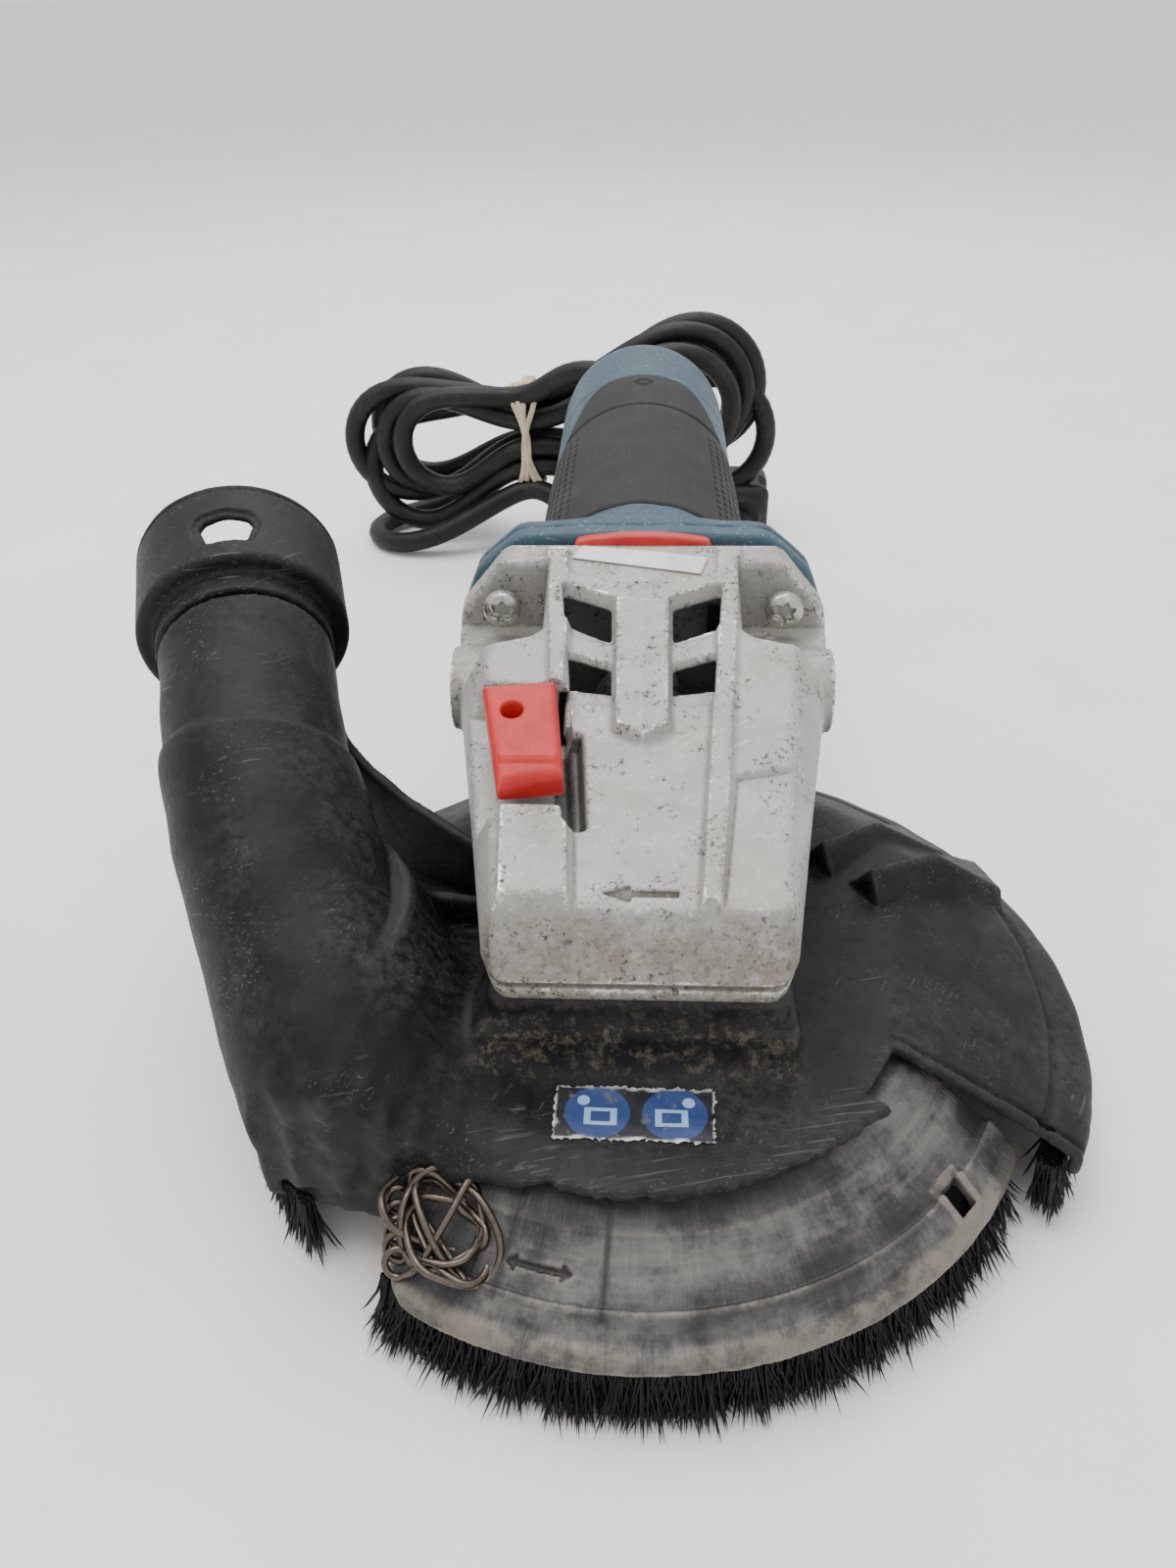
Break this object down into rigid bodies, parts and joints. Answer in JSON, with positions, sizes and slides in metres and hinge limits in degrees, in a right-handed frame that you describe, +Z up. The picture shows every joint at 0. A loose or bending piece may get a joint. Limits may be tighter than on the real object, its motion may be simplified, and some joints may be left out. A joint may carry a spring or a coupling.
{
  "type": "concrete grinder",
  "caption": "Hand-held concrete surfacing grinder with a diamond cup wheel, a brush-edged dust guard with a hose outlet, a slide switch and a mains cord.",
  "frame": {"origin": "centre of the bottom of the tool's box, on the surface that the guard's brush stands on, with the cord left out", "axes": "+Z up along the wheel spindle, +Y from the gear head towards the rear cap along the motor, +X to the right seen from the gear head's front"},
  "size_m": [0.23, 0.4358, 0.1132],
  "materials": {
    "cast": "worn silver paint over cast aluminium",
    "blue": "scratched satin",
    "black": "scuffed satin",
    "grip": "matte, dusty",
    "red": "satin",
    "worn": "paint worn to scratched metal",
    "steel": "ground",
    "zinc": "zinc plated",
    "copper": "enamelled copper winding",
    "brass": "satin",
    "carbon": "sooty",
    "lamination": "stacked sheet steel",
    "diamond": "gritty",
    "bristle": "bristle",
    "cord": "satin rubber",
    "band": "matte"
  },
  "bodies": {
    "housing": {"air_deflector_ring": "red", "armature_bearing_front": "steel", "armature_bearing_rear": "steel", "bearing_flange": "cast", "brush_holder_left": "brass", "brush_holder_right": "brass", "carbon_brush_left": "carbon", "carbon_brush_right": "carbon", "cord_hank": "cord", "cord_lead": "cord", "cord_plug": "cord", "cord_tail": "cord", "dust_duct": "black", "dust_guard": "black", "field_coil_front": "copper", "field_coil_rear": "copper", "gear_housing": "cast", "gear_housing_screw_1": "zinc", "gear_housing_screw_2": "zinc", "gear_housing_screw_3": "zinc", "gear_housing_screw_4": "zinc", "grip_sleeve": "grip", "guard_brush": "bristle", "guard_clamp_band": "zinc", "guard_clamp_screw": "zinc", "hose_nozzle": "black", "lock_spring": "steel", "motor_housing": "blue", "plug_blade_left": "brass", "plug_blade_right": "brass", "rear_cap": "blue", "rubber_band": "band", "spindle_bearing_lower": "steel", "spindle_bearing_upper": "steel", "stator_core": "lamination", "strain_relief": "cord", "switch_module": "black", "top_panel": "black"},
    "wheel_spindle": {"spindle": "steel", "backing_flange": "steel", "clamp_nut": "steel", "cup_wheel": "diamond", "crown_gear": "steel"},
    "armature": {"armature_shaft": "steel", "armature_core": "lamination", "armature_winding_front": "copper", "armature_winding_rear": "copper", "commutator": "copper", "cooling_fan": "black", "pinion": "steel"},
    "guard_segment_body": {"guard_segment": "worn", "segment_brush": "bristle"},
    "lock_button_body": {"lock_button": "red", "lock_pin": "steel"},
    "switch_slide": {"slide_switch": "black", "switch_rod": "black"}
  },
  "joints": [
    {"name": "wheel_spin", "type": "hinge", "parent": "housing", "child": "wheel_spindle", "pos_m": [0.01279, -0.0865, 0.04], "axis": [0, 0, 1], "continuous": true},
    {"name": "armature_spin", "type": "hinge", "parent": "housing", "child": "armature", "pos_m": [0.01279, 0.0435, 0.073], "axis": [0, 1, 0], "continuous": true},
    {"name": "segment_swing", "type": "hinge", "parent": "housing", "child": "guard_segment_body", "pos_m": [0.01279, -0.0865, 0.03], "axis": [0, 0, 1], "range_deg": [0, 75]},
    {"name": "lock_press", "type": "slide", "parent": "housing", "child": "lock_button_body", "axis": [0, 0, -1], "range_m": [0, 0.004], "stiffness_N_per_m": 800, "springref_m": -0.003, "deforming": ["lock_spring"]},
    {"name": "switch_push", "type": "slide", "parent": "housing", "child": "switch_slide", "axis": [0, -1, 0], "range_m": [0, 0.006]}
  ],
  "couplings": [
    {"joint": "armature_spin", "follows": "wheel_spin", "ratio": 3}
  ]
}
